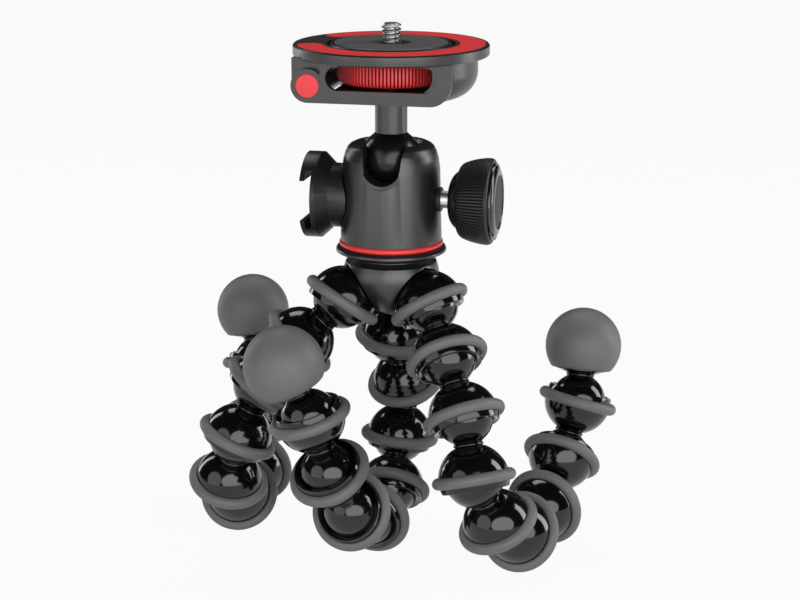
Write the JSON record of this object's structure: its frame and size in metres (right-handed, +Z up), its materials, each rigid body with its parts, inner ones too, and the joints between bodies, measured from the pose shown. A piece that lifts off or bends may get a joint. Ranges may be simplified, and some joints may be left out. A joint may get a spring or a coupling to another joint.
{
  "type": "flexible leg tripod",
  "caption": "Table tripod with bendable legs of ball-and-cup segments, a panning ball head with lock knob and accessory shoe, and a round camera platform that flips to portrait",
  "frame": {"origin": "on the floor under the axis of the head", "axes": "+Z up along the head's axis, +X towards the lock knob, -X towards the accessory shoe and the platform's hinge, -Y towards the head's drop notch"},
  "size_m": [0.1407, 0.1101, 0.1696],
  "materials": {
    "leg_black": "glossy moulded",
    "grip_rubber": "matte moulded rubber",
    "red_plastic": "satin",
    "red_inlay": "matte soft grip",
    "steel": "turned",
    "inner_plastic": "moulded",
    "head_grey": "grey anodised, bead blasted",
    "ball_metal": "dark anodised, smooth",
    "knob_black": "glossy moulded",
    "knob_rubber": "ribbed soft grip",
    "shoe_plastic": "fine texture",
    "pad_rubber": "matte"
  },
  "bodies": {
    "base": {"hub": "leg_black", "hub_rings": "grip_rubber", "pan_flange": "leg_black", "pan_ring": "red_plastic", "pan_bolt": "steel", "pan_washer": "steel"},
    "head": {"housing": "head_grey", "base_plug": "inner_plastic", "upper_seat": "inner_plastic", "shaft_bush": "inner_plastic", "accessory_shoe": "shoe_plastic", "shoe_screw": "steel"},
    "brake": {"brake_cup": "inner_plastic"},
    "lock": {"lock_shaft": "steel", "knob_body": "knob_black", "knob_grip": "knob_rubber", "knob_cap": "knob_black"},
    "ball": {"ball": "ball_metal"},
    "cradle": {"stem": "head_grey", "stem_screw": "steel", "cradle": "head_grey", "hinge_pin": "steel", "pin_caps": "red_plastic"},
    "platform": {"platform": "head_grey", "red_inlay": "red_inlay", "rubber_pad": "pad_rubber"},
    "screw": {"camera_screw": "steel", "screw_clip": "steel", "thumbwheel": "red_plastic"},
    "right_segment_1": {"right_segment_1": "leg_black"},
    "right_segment_2": {"right_segment_2": "leg_black"},
    "right_segment_3": {"right_segment_3": "leg_black"},
    "right_segment_4": {"right_segment_4": "leg_black"},
    "right_segment_5": {"right_segment_5": "leg_black"},
    "right_segment_6": {"right_segment_6": "leg_black"},
    "right_segment_7": {"right_segment_7": "leg_black"},
    "right_segment_8": {"right_segment_8": "leg_black"},
    "right_foot": {"right_foot": "leg_black", "right_foot_cap": "grip_rubber"},
    "back_segment_1": {"back_segment_1": "leg_black"},
    "back_segment_2": {"back_segment_2": "leg_black"},
    "back_segment_3": {"back_segment_3": "leg_black"},
    "back_segment_4": {"back_segment_4": "leg_black"},
    "back_segment_5": {"back_segment_5": "leg_black"},
    "back_segment_6": {"back_segment_6": "leg_black"},
    "back_segment_7": {"back_segment_7": "leg_black"},
    "back_segment_8": {"back_segment_8": "leg_black"},
    "back_foot": {"back_foot": "leg_black", "back_foot_cap": "grip_rubber"},
    "left_segment_1": {"left_segment_1": "leg_black"},
    "left_segment_2": {"left_segment_2": "leg_black"},
    "left_segment_3": {"left_segment_3": "leg_black"},
    "left_segment_4": {"left_segment_4": "leg_black"},
    "left_segment_5": {"left_segment_5": "leg_black"},
    "left_segment_6": {"left_segment_6": "leg_black"},
    "left_segment_7": {"left_segment_7": "leg_black"},
    "left_segment_8": {"left_segment_8": "leg_black"},
    "left_foot": {"left_foot": "leg_black", "left_foot_cap": "grip_rubber"}
  },
  "joints": [
    {"name": "pan", "type": "hinge", "parent": "base", "child": "head", "pos_m": [0, 0, 0.10259], "axis": [0, 0, 1], "continuous": true},
    {"name": "lock_turn", "type": "hinge", "parent": "head", "child": "lock", "pos_m": [0.018, 0, 0.11559], "axis": [1, 0, 0], "range_deg": [0, 180]},
    {"name": "brake_lift", "type": "slide", "parent": "head", "child": "brake", "axis": [0, 0, 1], "range_m": [0, 0.00025]},
    {"name": "ball_tilt", "type": "hinge", "parent": "head", "child": "ball", "pos_m": [0, 0, 0.12769], "axis": [1, 0, 0], "range_deg": [-30, 90]},
    {"name": "ball_spin", "type": "hinge", "parent": "ball", "child": "cradle", "pos_m": [0, 0, 0.12769], "axis": [0, 0, 1], "continuous": true},
    {"name": "platform_flip", "type": "hinge", "parent": "cradle", "child": "platform", "pos_m": [-0.0216, 0, 0.15239], "axis": [0, -1, 0], "range_deg": [0, 90]},
    {"name": "screw_turn", "type": "hinge", "parent": "platform", "child": "screw", "pos_m": [0, 0, 0.15999], "axis": [0, 0, 1], "continuous": true},
    {"name": "right_bend_1", "type": "hinge", "parent": "base", "child": "right_segment_1", "pos_m": [0.01386, -0.008, 0.08389], "axis": [-0.8443, 0.0591, -0.5326], "range_deg": [-55, 20]},
    {"name": "right_bend_2", "type": "hinge", "parent": "right_segment_1", "child": "right_segment_2", "pos_m": [0.02156, -0.01901, 0.07046], "axis": [-0.899, -0.3926, -0.194], "range_deg": [-30, 50]},
    {"name": "right_bend_3", "type": "hinge", "parent": "right_segment_2", "child": "right_segment_3", "pos_m": [0.02857, -0.02735, 0.05489], "axis": [0.766, 0.6428, 0], "range_deg": [-55, 25]},
    {"name": "right_bend_4", "type": "hinge", "parent": "right_segment_3", "child": "right_segment_4", "pos_m": [0.03275, -0.03233, 0.03704], "axis": [-0.9396, 0.2022, -0.2762], "range_deg": [-3, 75]},
    {"name": "right_bend_5", "type": "hinge", "parent": "right_segment_4", "child": "right_segment_5", "pos_m": [0.0391, -0.02527, 0.02059], "axis": [0.9408, -0.078, 0.33], "range_deg": [-75, 3]},
    {"name": "right_bend_6", "type": "hinge", "parent": "right_segment_5", "child": "right_segment_6", "pos_m": [0.04348, -0.00892, 0.01196], "axis": [-0.9659, 0.2588, 0], "range_deg": [-8, 74]},
    {"name": "right_bend_7", "type": "hinge", "parent": "right_segment_6", "child": "right_segment_7", "pos_m": [0.04837, 0.00933, 0.01395], "axis": [0.9659, -0.2588, 0], "range_deg": [-75, 5]},
    {"name": "right_bend_8", "type": "hinge", "parent": "right_segment_7", "child": "right_segment_8", "pos_m": [0.05203, 0.02297, 0.02666], "axis": [-0.9755, 0.0657, 0.2099], "range_deg": [-10, 70]},
    {"name": "right_bend_9", "type": "hinge", "parent": "right_segment_8", "child": "right_foot", "pos_m": [0.0562, 0.02795, 0.04451], "axis": [0.0769, -0.9649, 0.251], "range_deg": [-48, 28]},
    {"name": "back_bend_1", "type": "hinge", "parent": "base", "child": "back_segment_1", "pos_m": [0, 0.016, 0.08389], "axis": [-0.9431, 0.2725, 0.1908], "range_deg": [-6, 12]},
    {"name": "back_bend_2", "type": "hinge", "parent": "back_segment_1", "child": "back_segment_2", "pos_m": [-0.00303, 0.01854, 0.06531], "axis": [-0.7401, 0.6396, 0.2079], "range_deg": [-14, 30]},
    {"name": "back_bend_3", "type": "hinge", "parent": "back_segment_2", "child": "back_segment_3", "pos_m": [-0.00087, 0.02658, 0.04823], "axis": [-0.9356, 0.3501, 0.0468], "range_deg": [-65, 7]},
    {"name": "back_bend_4", "type": "hinge", "parent": "back_segment_3", "child": "back_segment_4", "pos_m": [-0.00257, 0.02456, 0.02942], "axis": [0.9899, 0.1002, -0.1002], "range_deg": [-1, 78]},
    {"name": "back_bend_5", "type": "hinge", "parent": "back_segment_4", "child": "back_segment_5", "pos_m": [-0.00257, 0.01112, 0.01598], "axis": [-0.9784, 0.1461, -0.1461], "range_deg": [-75, 1]},
    {"name": "back_bend_6", "type": "hinge", "parent": "back_segment_5", "child": "back_segment_6", "pos_m": [-0.00485, -0.00745, 0.01268], "axis": [0.9916, -0.1266, 0.0271], "range_deg": [-1, 75]},
    {"name": "back_bend_7", "type": "hinge", "parent": "back_segment_6", "child": "back_segment_7", "pos_m": [-0.00725, -0.0245, 0.02071], "axis": [-0.9632, 0.0089, -0.2686], "range_deg": [-70, 1]},
    {"name": "back_bend_8", "type": "hinge", "parent": "back_segment_7", "child": "back_segment_8", "pos_m": [-0.01168, -0.03446, 0.03628], "axis": [0.9584, 0.0185, 0.2848], "range_deg": [-2, 64]},
    {"name": "back_bend_9", "type": "hinge", "parent": "back_segment_8", "child": "back_foot", "pos_m": [-0.017, -0.03694, 0.05435], "axis": [0.2588, -0.9659, 0], "range_deg": [-40, 30]},
    {"name": "left_bend_1", "type": "hinge", "parent": "base", "child": "left_segment_1", "pos_m": [-0.01386, -0.008, 0.08389], "axis": [0.3666, 0.7862, -0.4975], "range_deg": [-7, 24]},
    {"name": "left_bend_2", "type": "hinge", "parent": "left_segment_1", "child": "left_segment_2", "pos_m": [-0.02709, -0.01033, 0.07046], "axis": [-0.2079, 0.9781, 0], "range_deg": [-18, 44]},
    {"name": "left_bend_3", "type": "hinge", "parent": "left_segment_2", "child": "left_segment_3", "pos_m": [-0.03903, -0.01287, 0.0559], "axis": [0.2079, -0.9781, 0], "range_deg": [-55, 25]},
    {"name": "left_bend_4", "type": "hinge", "parent": "left_segment_3", "child": "left_segment_4", "pos_m": [-0.04689, -0.01454, 0.03868], "axis": [-0.878, 0.3023, 0.3712], "range_deg": [-15, 65]},
    {"name": "left_bend_5", "type": "hinge", "parent": "left_segment_4", "child": "left_segment_5", "pos_m": [-0.05205, -0.00839, 0.02146], "axis": [0.938, -0.1215, -0.3246], "range_deg": [-78, 1]},
    {"name": "left_bend_6", "type": "hinge", "parent": "left_segment_5", "child": "left_segment_6", "pos_m": [-0.05345, 0.00766, 0.0114], "axis": [-0.9932, -0.0142, 0.1158], "range_deg": [-1, 78]},
    {"name": "left_bend_7", "type": "hinge", "parent": "left_segment_6", "child": "left_segment_7", "pos_m": [-0.05345, 0.02652, 0.01371], "axis": [0.9934, -0.014, 0.1137], "range_deg": [-78, 1]},
    {"name": "left_bend_8", "type": "hinge", "parent": "left_segment_7", "child": "left_segment_8", "pos_m": [-0.05483, 0.03965, 0.02738], "axis": [-0.9973, -0.0398, -0.0624], "range_deg": [-9, 70]},
    {"name": "left_bend_9", "type": "hinge", "parent": "left_segment_8", "child": "left_foot", "pos_m": [-0.05615, 0.04371, 0.04589], "axis": [-0.6947, -0.7193, 0], "range_deg": [-38, 36]}
  ],
  "couplings": [
    {"joint": "brake_lift", "follows": "lock_turn", "m_per_rad": 0.000079577}
  ]
}
